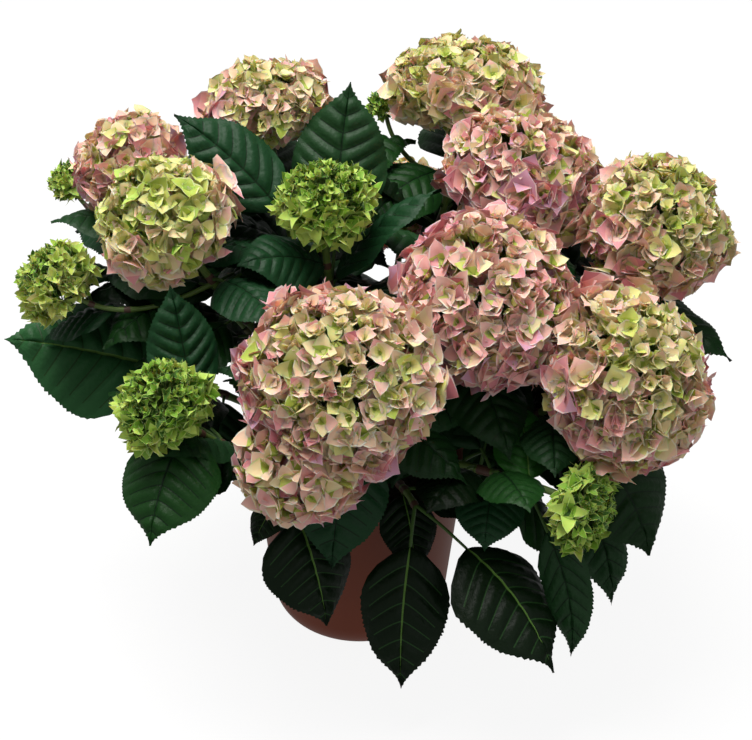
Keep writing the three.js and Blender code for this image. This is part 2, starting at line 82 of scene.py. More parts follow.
# A row for each shoot: its name; its tier, or the shoot that carries it and how far down from that one's
# end; the middle of its head, or its tip; the compass and rise of its axis; how far back along the axis
# its curve is pulled; its head's half sizes, place on the petal palette, pinkness of rim and length of
# sepal; and its leaves, each (distance down, compass, rise, blade, twist, stalk, bend, width).
FIELDS = ("name", "start", "at", "lean", "reach", "half", "tone", "ring", "sepal", "leaves")
TABLE = [
    ("back_left_top", "high", (-86, 130, 482), (120, 80), 150, (61, 58, 40), 7.3, 1.8, 17, [
        (96, 200, 10, 90, 0, 20), (84, 24, 5, 116, 0, 32), (95, 110, 12, 110), (98, 244, 26, 82),
        (140, 170, 5, 110)]),
    ("left_upper", "middle", (-207, 60, 451), (170, 66), 130, (53, 53, 47), 8.7, 2.0, 17, [
        (80, 194, 8, 88, 0, 32), (66, 96, 6, 100), (100, 150, -8, 112), (100, 320, 10, 90),
        (140, 222, -12, 108)]),
    ("left_outer_bud", ("left_upper", 92), (-275, 120, 405), (150, 60), 55, (19, 19, 22), 1.8, 0.6, 9, [
        (30, 60, 10, 60)]),
    ("left_middle", "high", (-169, -30, 438), (215, 60), 130, (62, 60, 55), 5.6, 3.0, 18, [
        (80, 306, -6, 92), (95, 30, 7, 90), (130, 228, -20, 100), (135, 88, -3, 100)]),
    ("left_green", ("left_middle", 84), (-270, -20, 374), (184, 55), 75, (40, 40, 35), 2.45, 0.8, 12, [
        (74, 168, -30, 84, 0, 14), (40, 110, -10, 90)]),
    ("back_right_top", "middle", (102, 170, 482), (60, 80), 150, (80, 68, 46), 6.2, 1.5, 17, [
        (78, 225, -16, 100, -20), (66, 20, -17, 110), (90, 80, 4, 115), (106, 212, 3, 105, -35),
        (130, 60, -6, 120)]),
    ("back_bud", ("back_right_top", 96), (25, 190, 455), (100, 75), 50, (18, 18, 18), 1.2, 0.3, 9, []),
    ("right_upper", "high", (151, 60, 442), (350, 74), 130, (77, 69, 56), 8.2, 2.8, 19, [
        (76, 306, -4, 95), (84, 60, 6, 110), (110, 188, 20, 95), (120, 337, 0, 115)]),
    ("right_outer", "middle", (266, 20, 407), (325, 54), 140, (72, 69, 66), 6.3, 2.4, 18, [
        (74, 50, 0, 105), (82, 248, 5, 86), (100, 332, -16, 136, 10, 24, 45, 0.7), (100, 120, -5, 108),
        (150, 20, -15, 118)]),
    ("centre_right", "high", (111, -90, 388), (285, 55), 110, (80, 80, 66), 9.2, 2.4, 21, [
        (78, 292, -31, 104), (84, 205, -12, 104), (100, 30, 0, 108), (92, 334, -4, 92),
        (122, 250, -28, 112)]),
    ("front_centre", "high", (-12, -184, 366), (268, 42), 120, (88, 82, 68), 7.6, 3.0, 21, [
        (90, 205, -30, 100), (92, 330, -26, 108), (122, 180, 14, 104), (106, 172, 22, 92),
        (124, 258, -62, 118, 0, 30)]),
    ("right_front", "low", (230, -130, 337), (315, 42), 130, (78, 82, 66), 7.2, 3.0, 20, [
        (96, 320, -50, 118, 20, 44, 45, 1.25), (92, 24, -4, 108), (112, 318, -68, 132, 30, 66, 45, 0.55),
        (124, 60, -10, 108), (150, 345, -40, 115)]),
    ("middle_green", "high", (-29, 0, 441), (300, 86), 110, (45, 45, 39), 1.5, 0.4, 13, [
        (96, 79, 60, 126, 12, 70, 0, 0.98), (66, 210, 14, 92, -30, 4), (92, 8, 41, 130, -2, 14, 45, 0.6),
        (94, 272, 10, 96), (104, 318, -5, 104), (84, 157, 36, 129, -40, 82, 36, 0.76)]),
    ("left_front_green", "low", (-162, -168, 334), (225, 60), 100, (43, 43, 37), 1.3, 0.6, 13, [
        (62, 117, 66, 102, -8, 30, -10, 0.86), (42, 250, -41, 104, 0, 8, 45, 1.2), (92, 152, 4, 100)]),
    ("right_low_green", "middle", (194, -190, 246), (326, -4), 110, (43, 43, 26), 1.5, 0.5, 13, [
        (56, 100, 39, 74, 0, 4, 20, 1.05), (62, 310, -72, 122, 50, 48, 45, 0.5),
        (92, 258, -36, 66, 0, 10, 45, 1.3), (104, 350, -54, 105), (112, 66, 34, 92)]),
    ("back_left_low", "low", (-130, 205, 330), (120, 55), 110, (56, 56, 46), 6.4, 3.0, 18, [
        (62, 60, -20, 104), (64, 170, -6, 106), (90, 110, -40, 116), (100, 200, -25, 108)]),
    ("back_low", "low", (45, 245, 318), (82, 50), 110, (60, 60, 50), 7.4, 2.6, 18, [
        (66, -4, -10, 104), (68, 180, 2, 104), (96, 70, -48, 116), (110, 130, -40, 108)]),
    ("back_right_low", "low", (225, 180, 330), (38, 54), 110, (57, 57, 47), 6.0, 2.8, 18, [
        (64, 328, -2, 104), (66, 100, -13, 104), (96, 30, -42, 116), (120, 350, -35, 112)]),
    ("low_front_left", "low", (-66, -118, 210), (245, 10), 55, None, None, None, None, [
        (4, 302, -62, 104, 0, 26, 45, 1.2), (4, 236, -34, 52, 0, 8), (40, 186, 14, 100, 0, 16)]),
    ("low_front", "low", (52, -130, 202), (290, -10), 55, None, None, None, None, [
        (4, 261, -66, 132, 0, 38, 45, 0.84), (6, 316, -38, 134, 0, 66, 45, 1.06),
        (40, 285, -55, 74, 0, 10), (30, 345, -14, 72, 0, 18)]),
    ("low_left", "middle", (-165, 0, 262), (178, 26), 70, None, None, None, None, [
        (4, 176, 10, 150, -40, 24, 26, 1.1), (4, 120, -20, 118), (44, 262, -42, 92, 0, 10, 45, 0.95)]),
    ("low_right", "low", (150, 12, 235), (5, 25), 60, None, None, None, None, [
        (4, 335, -45, 120), (4, 48, -30, 120), (40, 290, -54, 80, 0, 16)]),
    ("front_lobe", ("front_centre", 70), (-47, -212, 298), (250, 10), 50, (55, 48, 42), 8.8, 2.2, 22, []),
]
TRIES = [(0, 0), (8, 0), (-8, 0), (0, -9), (0, 9), (14, -8), (-14, -8), (20, 6), (-20, 6), (0, -20)]


def srgb(*colour):
    """A colour given as the eye sees it, 0 to 255, as the linear colour of a shader."""
    values = [value / 255 for value in colour]
    return (*(v / 12.92 if v <= 0.04045 else ((v + 0.055) / 1.055) ** 2.4 for v in values), 1)


def put(node, values):
    for socket, value in values.items():
        node.inputs[socket].default_value = value


def add_object(name, data):
    made = bpy.data.objects.new(name, data)
    bpy.context.scene.collection.objects.link(made)
    return made


# Camera, floor and light
VIEW = Named(target=(0.016, 0, 0.269), distance=1.8, elevation=30, focal_px=1934, width_px=752)
SENSOR = 36
CLIP_END = 40
STUDIO = Named(world=0.39, aim=(0, 0, 0.3), floor_half=12, floor_grey=96, floor_glow=0.9)
# Each light's place, size, power and colour
LIGHTS = {
    "key": ((-0.4, 0.0, 2.7), 2.0, 90, (1, 0.98, 0.96)),
    "fill": ((1.3, -2.0, 1.2), 1.8, 4, (0.97, 0.98, 1)),
}


def make_camera():
    data = bpy.data.cameras.new("camera")
    data.sensor_width = SENSOR
    data.lens = SENSOR * VIEW.focal_px / VIEW.width_px
    data.clip_end = CLIP_END
    camera = add_object("camera", data)
    rise = math.radians(VIEW.elevation)
    back = Vector((0, -math.cos(rise), math.sin(rise)))
    camera.location = Vector(VIEW.target) + back * VIEW.distance
    camera.rotation_euler = (-back).to_track_quat("-Z", "Y").to_euler()
    bpy.context.scene.camera = camera


def make_light(name, place, size, power, colour):
    data = bpy.data.lights.new(name, "AREA")
    data.shape = "DISK"
    data.size = size
    data.energy = power
    data.color = colour
    light = add_object(name, data)
    light.location = place
    light.rotation_euler = (Vector(STUDIO.aim) - Vector(place)).to_track_quat("-Z", "Y").to_euler()


def make_studio():
    world = bpy.data.worlds.new("studio")
    world.use_nodes = True
    put(world.node_tree.nodes["Background"], {"Color": (1, 1, 1, 1), "Strength": STUDIO.world})
    bpy.context.scene.world = world
    bpy.context.scene.view_settings.view_transform = "Standard"
    for name, light in LIGHTS.items():
        make_light(name, *light)
    corners = np.array([(-1, -1, 0), (1, -1, 0), (1, 1, 0), (-1, 1, 0)]) * STUDIO.floor_half / MM
    look = material("floor", srgb(*[STUDIO.floor_grey] * 3), 0.9, specular=0.0)
    glow = {"Emission Color": (1, 1, 1, 1), "Emission Strength": STUDIO.floor_glow}
    put(look.node_tree.nodes["Principled BSDF"], glow)
    floor = mesh_object("floor", [look], corners, np.array([(0, 1, 2, 3)]), smooth=False)
    floor.visible_diffuse = False
    floor.visible_glossy = False


# Materials. A finish is the roughness, the scale, depth and roughness swing of its grain, and then
# how much it shines and its sheen.
FINISHES = {
    "leaf": (0.42, (260, 1.1, 0.08), 0.13),
    "stalk": (0.5, (300, 0.3, 0.08), 0.3),
    "stem": (0.5, (300, 0.3, 0.08)),
    "petal": (0.58, (420, 0.25, 0.06), 0.3, 0.1),
}
PETAL_GLOW = {"Subsurface Weight": 0.6, "Subsurface Radius": (1, 0.6, 0.4), "Subsurface Scale": 0.004}
# A pattern is two colours, the scale of the noise that mixes them, roughness, relief and shine.
PATTERNS = {
    "bark": ((58, 44, 34), (104, 84, 62), 90, 0.86, 1.2, 0.5),
    "bark_green": ((70, 74, 38), (96, 92, 54), 120, 0.7, 0.6, 0.5),
    "pot_plastic": ((106, 47, 25), (118, 55, 31), 14, 0.48, 0.15, 0.25),
    "compost": ((34, 24, 18), (70, 50, 36), 160, 0.95, 1.5, 0.5),
}
PATTERN_SWING = 0.08
NOISE_DETAIL = 3
BUMP_STRENGTH = 0.6


def material(name, colour, roughness, grain=None, specular=0.5, sheen=0.0):
    """A plain base colour with a finish, where the grain is relief and uneven roughness."""
    made = bpy.data.materials.new(name)
    made.use_nodes = True
    nodes, links = made.node_tree.nodes, made.node_tree.links
    shader = nodes["Principled BSDF"]
    put(shader, {"Base Color": colour, "Roughness": roughness})
    put(shader, {"Specular IOR Level": specular, "Sheen Weight": sheen})
    if grain:
        scale, depth, swing = grain
        place = nodes.new("ShaderNodeTexCoord")
        noise = nodes.new("ShaderNodeTexNoise")
        put(noise, {"Scale": scale, "Detail": NOISE_DETAIL})
        spread = nodes.new("ShaderNodeMapRange")
        put(spread, {"To Min": roughness - swing, "To Max": roughness + swing})
        bump = nodes.new("ShaderNodeBump")
        put(bump, {"Strength": BUMP_STRENGTH, "Distance": depth * MM})
        links.new(place.outputs["Object"], noise.inputs["Vector"])
        links.new(noise.outputs["Fac"], spread.inputs["Value"])
        links.new(spread.outputs["Result"], shader.inputs["Roughness"])
        links.new(noise.outputs["Fac"], bump.inputs["Height"])
        links.new(bump.outputs["Normal"], shader.inputs["Normal"])
    return made


def looks_of(colours, finish):
    return [material(name, srgb(*colour), *FINISHES[finish]) for name, colour in colours.items()]


def patterned(name):
    """Two colours mixed by noise, with the same noise as relief, for bark, compost and pot."""
    low, high, scale, roughness, depth, specular = PATTERNS[name]
    made = material(name, srgb(*low), roughness, (scale, depth, PATTERN_SWING), specular)
    nodes, links = made.node_tree.nodes, made.node_tree.links
    noise = next(node for node in nodes if node.type == "TEX_NOISE")
    mix = nodes.new("ShaderNodeMix")
    mix.data_type = "RGBA"
    put(mix, {"A": srgb(*low), "B": srgb(*high)})
    links.new(noise.outputs["Fac"], mix.inputs["Factor"])
    links.new(mix.outputs["Result"], nodes["Principled BSDF"].inputs["Base Color"])
    return made


# Petals run from lime over cream and shell pink to mauve, and their rims are paler.
PALETTE = {
    # green_deep is a deep green made darker as painted shade, for the throats and inner florets in the
    # gaps between a green head's cups.
    "green_deep": (58, 98, 14), "green": (124, 166, 46), "green_light": (178, 204, 92),
    "lime": (164, 180, 72), "lime_pale": (190, 196, 100), "cream_lime": (212, 206, 132),
    "cream": (226, 206, 158), "cream_peach": (228, 192, 162), "shell": (232, 184, 170),
    "blush": (230, 170, 164), "rose": (216, 146, 150), "rose_dusky": (196, 120, 128),
    "mauve": (206, 154, 174),
}
RIMS = {
    "rim_green": (190, 212, 110), "rim_lime": (206, 210, 146), "rim_cream": (234, 224, 198),
    "rim_pink": (236, 208, 202),
}
FIRST_PINK_HEAD = 2.5
EYES = {"eye": (150, 172, 76)}
GREENS = {
    "leaf_blue": (24, 58, 32), "leaf_deep": (18, 46, 18), "leaf_mid": (25, 60, 23),
    # leaf_dark is a dark green that fill leaves may draw at random, and painted shade on the low shaded
    # shoots' leaves.
    "leaf_dull": (29, 59, 31), "leaf_dark": (9, 26, 8), "leaf_young": (36, 86, 28),
    # leaf_lit is painted light: a lighter green for a leaf turned away from the key light.
    "leaf_lit": (40, 84, 46),
}
RIBS = {"rib_deep": (15, 36, 17), "rib_mid": (34, 64, 30), "rib_light": (84, 118, 52)}
STALK = {"leaf_stalk": (62, 92, 38)}
STEMS = {"stem_green": (86, 112, 46), "stem_pale": (94, 120, 54), "stem_joint": (84, 58, 46)}
RIM_AT = len(PALETTE)
EYE_AT = RIM_AT + len(RIMS)
RIB_AT = len(GREENS)
STALK_AT = RIB_AT + len(RIBS)


# Directions, curves and seeded numbers
def heading(compass, rise):
    a, r = np.radians(compass), np.radians(rise)
    return np.stack([np.cos(r) * np.cos(a), np.cos(r) * np.sin(a), np.sin(r) + 0 * a], axis=-1)


def unit(vectors):
    return vectors / np.linalg.norm(vectors, axis=-1, keepdims=True)


def seeded_stream(state):
    """The stream of numbers from 0 to 1 that the solids' fill leaves are drawn from."""
    word = 0xFFFFFFFF
    while True:
        state = (state + 0x6D2B79F5) & word
        mixed = ((state ^ (state >> 15)) * (state | 1)) & word
        mixed ^= (mixed + (((mixed ^ (mixed >> 7)) * (mixed | 61)) & word)) & word
        yield (mixed ^ (mixed >> 14)) / 4294967296


def on_line(values, share, at):
    return np.stack([np.interp(at, share, values[:, k]) for k in range(3)], axis=-1)


class Route:
    """A bent limb's line: from its start, and into its head along the head's own axis."""

    STEPS = 200

    def __init__(self, start, end, lean, reach):
        pull = end - lean * reach
        t = np.linspace(0, 1, self.STEPS + 1)[:, None]
        self.points = (1 - t) ** 2 * start + 2 * t * (1 - t) * pull + t * t * end
        run = np.linalg.norm(np.diff(self.points, axis=0), axis=1)
        self.along = np.concatenate([[0], np.cumsum(run)])
        self.length = self.along[-1]
        side = np.cross(pull - start, end - pull)
        self.side = unit(side if np.linalg.norm(side) > 1 else np.cross(lean, (0, 1, 0)))

    def at(self, distance):
        return on_line(self.points, self.along, distance)


# Meshes
def mesh_object(name, looks, points, quads, tris=None, slots=None, smooth=True):
    """An object of quads and triangles, its points in millimetres, with a material slot a face."""
    tris = np.zeros((0, 3), int) if tris is None else tris
    loops = np.concatenate([quads.ravel(), tris.ravel()]).astype(np.int32)
    starts = np.concatenate([np.arange(len(quads)) * 4, quads.size + np.arange(len(tris)) * 3])
    mesh = bpy.data.meshes.new(name)
    mesh.vertices.add(len(points))
    mesh.vertices.foreach_set("co", (np.asarray(points, np.float32) * MM).ravel())
    mesh.loops.add(len(loops))
    mesh.loops.foreach_set("vertex_index", loops)
    mesh.polygons.add(len(starts))
    mesh.polygons.foreach_set("loop_start", starts.astype(np.int32))
    if slots is not None:
        mesh.polygons.foreach_set("material_index", np.asarray(slots, np.int32))
    mesh.polygons.foreach_set("use_smooth", np.full(len(starts), smooth))
    mesh.update(calc_edges=True)
    mesh.validate()
    for look in looks:
        mesh.materials.append(look)
    return add_object(name, mesh)


class Joined:
    """Many small shapes of one kind, gathered to be one mesh."""

    def __init__(self):
        self.points, self.quads, self.tris = [], [], []
        self.quad_slots, self.tri_slots = [], []
        self.count = 0

    def add(self, points, quads, quad_slots, tris=None, tri_slots=None):
        self.points.append(points.reshape(-1, 3))
        self.quads.append(quads.reshape(-1, 4) + self.count)
        self.quad_slots.append(np.broadcast_to(quad_slots, len(self.quads[-1])))
        if tris is not None:
            self.tris.append(tris.reshape(-1, 3) + self.count)
            self.tri_slots.append(np.broadcast_to(tri_slots, len(self.tris[-1])))
        self.count += len(self.points[-1])

    def build(self, name, looks):
        tris = np.concatenate(self.tris) if self.tris else None
        slots = np.concatenate(self.quad_slots + self.tri_slots)
        points, quads = np.concatenate(self.points), np.concatenate(self.quads)
        return mesh_object(name, looks, points, quads, tris, slots)


def grid_quads(rows, columns, wrap=False):
    """The quads of a grid of points, row by row, closed round its columns where it wraps."""
    spans = columns if wrap else columns - 1
    row, column = np.meshgrid(np.arange(rows - 1), np.arange(spans), indexing="ij")
    over = (column + 1) % columns
    here, there = row * columns, (row + 1) * columns
    corners = [here + column, here + over, there + over, there + column]
    return np.stack(corners, axis=-1).reshape(-1, 4)


def circle(sides):
    return np.linspace(0, 2 * np.pi, sides, endpoint=False)


def round_points(radius, turn, height):
    return np.stack([radius * np.cos(turn), radius * np.sin(turn), height + 0 * turn], axis=-1)


def ring(first, second, sides):
    """The corners of a ring, one unit out, for each pair of directions square to each other."""
    turn = circle(sides)
    return first[:, None] * np.cos(turn)[None, :, None] + second[:, None] * np.sin(turn)[None, :, None]


def tube(line, across, radii, sides):
    """A round limb: the rings about a line of points, one direction across it, and a radius each."""
    along = unit(np.gradient(line, axis=0))
    first = unit(across - np.sum(across * along, axis=1, keepdims=True) * along)
    radii = np.asarray(radii)
    radii = radii[:, None, None] if radii.ndim == 1 else radii[:, :, None]
    rings = line[:, None] + ring(first, np.cross(along, first), sides) * radii
    return rings, grid_quads(len(line), sides, wrap=True)


# Shoots: routes, and the shoot that owns each one's mass
SHOOTS = [Named(**dict(zip(FIELDS, row))) for row in TABLE]
by_name = {shoot.name: shoot for shoot in SHOOTS}
for shoot in SHOOTS:
    shoot.main = shoot.start in TIERS
    if shoot.main:
        shoot.owner = shoot.name
        start = np.array([0.0, 0.0, TIERS[shoot.start]])
    else:
        shoot.owner, down = shoot.start
        carrier = by_name[shoot.owner].route
        start = carrier.at(carrier.length - down)
    shoot.end = np.array(shoot.at, float)
    shoot.axis = heading(*shoot.lean)
    shoot.route = Route(start, shoot.end, shoot.axis, shoot.reach)
heads = [shoot for shoot in SHOOTS if shoot.half]
masses = ["mass_" + shoot.name for shoot in SHOOTS if shoot.main]
boughs = ["bough_" + shoot.name for shoot in SHOOTS if shoot.main]


def head_frame(shoot):
    """The directions across, deep and along the axis of a flower head."""
    axis = shoot.axis
    wide = np.array([0.0, 1.0, 0.0] if abs(axis[0]) > 0.9 else [1.0, 0.0, 0.0])
    wide = unit(wide - np.dot(wide, axis) * axis)
    return np.stack([wide, np.cross(axis, wide), axis])


# Leaves. The blade is a grid whose rows run from the midrib along the side veins to the margin. Sizes
# are in blade lengths. A pair named vary is the least value and what chance adds to it.
BLADE = Named(
    veins=8, width=0.35, belly=0.72, taper=0.82, drawn=0.62, drawn_from=0.7, sweep=0.32,
    sweep_start=0.07, row_curve=1.35, tooth=0.008, tooth_vary=(0.45, 1.0), tooth_lean=1.1,
    toothed=(0.05, 0.15, 0.9), puff=0.034, puff_vary=(0.7, 0.6), puff_round=0.55, rib_flank=(0.16, 0.7),
    calm_tip=0.2, ripple=0.0065, wave=0.018, waves=2.4, fold=(0.55, 0.9), sickle=0.05,
)
PETIOLE = Named(sides=6, rings=7, thick=1.9, thin=1.3, bow=1.6)
LEAF_DEFAULTS = (0, LEAF.stalk, LEAF.bend, 1)
HULL_STATIONS = np.array([0.0, 0.17, 0.42, 0.73, 0.98])


def smooth_step(value, low, high):
    share = np.clip((value - low) / (high - low), 0, 1)
    return share * share * (3 - 2 * share)


def blade_width(t):
    """Half the width of a blade, in blade lengths: broad and ovate, with a drawn-out tip."""
    body = np.sin(np.pi * np.clip(t, 0, 1) ** BLADE.belly)
    power = BLADE.taper + BLADE.drawn * smooth_step(t, BLADE.drawn_from, 1)
    return BLADE.width * body**power + 0.004


def blade_grid(row_shares, columns):
    """A blade's rows by their start on the midrib, which of them follow a side vein, and its columns."""
    starts, on_vein = [], []
    for vein in range(BLADE.veins):
        for k, share in enumerate(row_shares):
            place = vein + share - (1 if k == 0 else 0)
            if place > 0.02:
                starts.append(place / BLADE.veins)
                on_vein.append(k == 0)
    rows = np.array([0.0] + starts + [0.985, 1.0])
    return rows, np.array([False] + on_vein + [False, False]), np.array(columns)


FINE_BLADE = blade_grid(
    (0.96, 0.04, 0.23, 0.42, 0.6, 0.78),
    (0, 0.025, 0.13, 0.23, 0.33, 0.43, 0.53, 0.63, 0.73, 0.83, 0.93, 1),
)
PLAIN_BLADE = blade_grid((0.96, 0.04, 0.35, 0.65), (0, 0.03, 0.13, 0.28, 0.44, 0.6, 0.76, 0.9, 1))


def leaf_parts(leaf):
    """A leaf's compass, rise, blade, twist, stalk, bend and width."""
    return leaf[1:] + LEAF_DEFAULTS[len(leaf) - 4:]


def leaf_line(root, leaf, steps=60):
    """A leaf's midrib from blade base to tip, with its side and face directions."""
    compass, rise, blade, twist, stalk, bend, _ = leaf_parts(leaf)
    share = np.linspace(0, 1, steps + 1)
    along = heading(compass, rise + bend * (0.5 - share))
    base = root + along[0] * stalk
    middle = heading(compass, rise + bend * (0.5 - (share[1:] + share[:-1]) / 2))
    line = base + np.concatenate([[np.zeros(3)], np.cumsum(middle, axis=0)]) * blade / steps
    level = heading(compass + 90, 0)
    over = np.cross(along, level)
    turn = math.radians(twist)
    side = level * math.cos(turn) + over * math.sin(turn)
    return share, line, side, np.cross(along, side)


def grow_leaf(leaves, grid, root, leaf, tone, rng, light_rib=False):
    """One leaf with its stalk: veins sunk in, the blade puffed up between them, and a toothed edge."""
    _, _, blade, _, _, _, broad = leaf_parts(leaf)
    share, line, side, face = leaf_line(root, leaf)
    rows, on_vein, columns = grid
    sides = np.concatenate([-columns[:0:-1], columns])
    u, s = np.meshgrid(rows, sides, indexing="ij")
    reach = np.abs(s)
    sweep = BLADE.sweep * (1 - np.exp(-u / BLADE.sweep_start)) * (1 - u)
    margin = u + sweep
    t = u + sweep * reach ** BLADE.row_curve
    across = s * blade_width(margin) * broad

    row = np.arange(len(rows))[:, None]
    start, full, stop = BLADE.toothed
    tooth = BLADE.tooth * (row % 2) * smooth_step(margin, start, full) * (1 - smooth_step(margin, stop, 1))
    least, more = BLADE.tooth_vary
    tooth = tooth * (least + more * rng.random((len(rows), 1)))
    edge = reach > 0.999
    across = across + np.sign(s) * edge * tooth
    t = np.clip(t + edge * tooth * BLADE.tooth_lean, 0, 1)

    between = np.abs(np.sin(np.pi * ((u * BLADE.veins) % 1)))
    least, more = BLADE.puff_vary
    quilt = BLADE.puff * (least + more * rng.random())
    flank, steepness = BLADE.rib_flank
    puff = between ** BLADE.puff_round * np.minimum(1, reach / flank) ** steepness * (1 - reach**4)
    puff = quilt * puff * smooth_step(1 - u, 0, BLADE.calm_tip)
    rung = np.arange(len(sides))[None, :] + np.floor(u * BLADE.veins)
    ripple = BLADE.ripple * np.where(rung % 2 > 0.5, 1, -1) * between * (reach > 0.1) * (reach < 0.9)
    crest = margin * BLADE.waves + rng.random() + 0.5 * (s > 0)
    wave = BLADE.wave * reach**2 * np.sin(2 * np.pi * crest)
    width = np.abs(across)
    flat, deep = BLADE.fold
    fold = LEAF.arch * width * (flat + deep * width / BLADE.width)
    lift = puff + ripple + wave - fold
    sickle = BLADE.sickle * (rng.random() - 0.5) * np.sin(np.pi * t)
    points = on_line(line, share, t)
    points = points + on_line(side, share, t) * ((across + sickle) * blade)[..., None]
    points = points + on_line(face, share, t) * (lift * blade)[..., None]

    cell_row = np.repeat(np.arange(len(rows) - 1), len(sides) - 1)
    cell_column = np.tile(np.arange(len(sides) - 1), len(rows) - 1)
    half = len(columns) - 1
    mid = (cell_column == half) | (cell_column == half - 1)
    vein = on_vein[cell_row] & (cell_column > 1) & (cell_column < 2 * half - 2)
    slots = np.where(mid, RIB_AT + 2 * light_rib, np.where(vein, RIB_AT + light_rib, tone))
    leaves.add(points, grid_quads(len(rows), len(sides)), slots)

    steps = np.linspace(0, 1, PETIOLE.rings)[:, None]
    stalk_line = root + (line[0] - root) * steps + np.array([0, 0, PETIOLE.bow]) * np.sin(np.pi * steps)
    radii = PETIOLE.thick + (PETIOLE.thin - PETIOLE.thick) * steps[:, 0]
    leaves.add(*tube(stalk_line, side[:1], radii, PETIOLE.sides), STALK_AT)


def leaf_hull(root, leaf):
    """The outline of a leaf in a few faces, for finding what it would touch."""
    share, line, side, face = leaf_line(root, leaf)
    t = HULL_STATIONS
    middle = on_line(line, share, t)
    half = (blade_width(t) * leaf[3] * leaf_parts(leaf)[6])[:, None]
    reach = on_line(side, share, t) * half
    drop = on_line(face, share, t) * LEAF.arch * half
    points = np.stack([middle - reach - drop, middle, middle + reach - drop], axis=1)
    return BVHTree.FromPolygons(points.reshape(-1, 3).tolist(), grid_quads(len(t), 3).tolist()), points


# How far a leaf stays from other things: a share of a head's half sizes, millimetres beside and above
# the pot, and the step between the places tested along a limb.
GAPS = Named(head=0.96, pot=5, pot_top=4, limb_step=6)
placed_leaves = []
limb_points = [
    (shoot.owner, shoot.route.at(np.arange(0, shoot.route.length, GAPS.limb_step)))
    for shoot in SHOOTS
]


def is_free(owner, hull, points):
    """True where a leaf stays clear of the pot, of every head, and of other shoots' limbs and leaves."""
    spots = points.reshape(-1, 3)
    if spots[:, 2].min() < LEAF.lowest:
        return False
    for head in heads:
        local = (spots - head.end) @ head_frame(head).T / (np.array(head.half) * GAPS.head)
        if (np.linalg.norm(local, axis=1) < 1).any():
            return False
    radius = np.hypot(spots[:, 0], spots[:, 1])
    beside = radius < pot_wall(POT.height) + GAPS.pot
    if (beside & (spots[:, 2] < POT.height + GAPS.pot_top)).any():
        return False
    for other, line in limb_points:
        if other != owner and min(hull.find_nearest(point)[3] for point in line.tolist()) < STEM.bough:
            return False
    return not any(name != owner and hull.overlap(tree) for name, tree in placed_leaves)


def pot_wall(z, inset=0):
    tilt = math.atan(POT.slope)
    radius = POT.corner - inset
    start = POT.foot + radius * math.cos(tilt)
    return start + (z - POT.corner + radius * math.sin(tilt)) * POT.slope


def leaf_root(shoot, down):
    return shoot.route.at(shoot.route.length - down)


# Fill leaves: the solids' pair on each stem, then finer pairs above and below it.
FINER = Named(downs=(98, 138, 160, 182), blade=74, blades=34, rise=-18, rises=44, seed=901)
FILL_GREENS = (1, 5)
# Leaves with a green set by shoot and number, where leaf_lit is painted light: a lighter green on a
# leaf whose face turns from the key light. Others take one of the first four.
MARKED = {("right_low_green", 0): "leaf_young", ("low_left", 0): "leaf_lit"}
# These low shoots' leaves hang under the heads and take the darkest green as painted shade.
SHADED = ("low_front", "low_front_left")
COMMON_GREENS = 4
LEAF_PIECES = 3
LEAF_SEED = 7


def leaf_pairs(kind, index):
    """The pairs of opposite leaves dealt to one head's stem."""
    stream = seeded_stream(kind.seed + index)
    leaves = []
    for down in kind.downs:
        compass = 360 * next(stream)
        for turn in (0, 180):
            rise = kind.rise + kind.rises * next(stream)
            blade = kind.blade + kind.blades * next(stream)
            leaves.append((down, compass + turn, rise, blade))
    return leaves


def make_leaves():
    rng = np.random.default_rng(LEAF_SEED)
    gathered = [Joined() for _ in range(LEAF_PIECES)]
    for shoot in SHOOTS:
        for k, leaf in enumerate(shoot.leaves):
            root = leaf_root(shoot, leaf[0])
            placed_leaves.append((shoot.owner, leaf_hull(root, leaf)[0]))
            # A marked or shaded leaf's given green: the shaded leaves' dark green is painted shade, and
            # leaf_lit is painted light.
            own = MARKED.get((shoot.name, k), "leaf_dark" if shoot.name in SHADED else None)
            tone = list(GREENS).index(own) if own else int(rng.integers(0, COMMON_GREENS))
            grow_leaf(gathered[k % LEAF_PIECES], FINE_BLADE, root, leaf, tone, rng, bool(own))
    for index, shoot in enumerate(heads):
        plans = leaf_pairs(FILL, index) + leaf_pairs(FINER, index)
        for number, (down, compass, rise, blade) in enumerate(plans):
            if down > shoot.route.length * (1 - SPLIT):
                continue
            root = leaf_root(shoot, down)
            for turn, lift in TRIES:
                leaf = (down, compass + turn, rise + lift, blade)
                hull, points = leaf_hull(root, leaf)
                if not is_free(shoot.owner, hull, points):
                    continue
                placed_leaves.append((shoot.owner, hull))
                tone = int(rng.integers(*FILL_GREENS))
                grow_leaf(gathered[number % LEAF_PIECES], PLAIN_BLADE, root, leaf, tone, rng)
                break
    looks = looks_of(GREENS | RIBS, "leaf") + looks_of(STALK, "stalk")
    for number, leaves in enumerate(gathered):
        piece = leaves.build(f"leaves_{number + 1}", looks)
        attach(piece, "root")
        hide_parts(*masses)


# Stems: green, a little swollen and brown where a pair of leaves stands.
NO_JOINT = -99


def make_stems():
    stems = Joined()
    for shoot in SHOOTS:
        route = shoot.route
        if shoot.main:
            start, thick, thin = route.length * SPLIT + CLEAR, STEM.join, STEM.bloom
        else:
            start, thick, thin = 0, STEM.twig, STEM.twig * STEM.twig_taper
        distance = np.arange(start, route.length, STEM.step)
        radii = np.interp(distance, [start, route.length], [thick, thin])
        joints = np.array([route.length - leaf[0] for leaf in shoot.leaves] + [NO_JOINT])
        near = np.abs(distance[:, None] - joints).min(axis=1)
        radii = radii * (1 + STEM_JOINT.swell * np.exp(-((near / STEM_JOINT.long) ** 2)))
        rings, quads = tube(route.at(distance), route.side[None], radii, STEM.sides)
        pale = distance[:-1] > route.length - STEM_JOINT.pale_top
        slots = np.where(near[:-1] < STEM_JOINT.brown, 2, np.where(pale, 1, 0))
        stems.add(rings, quads, np.repeat(slots, STEM.sides))
    return stems


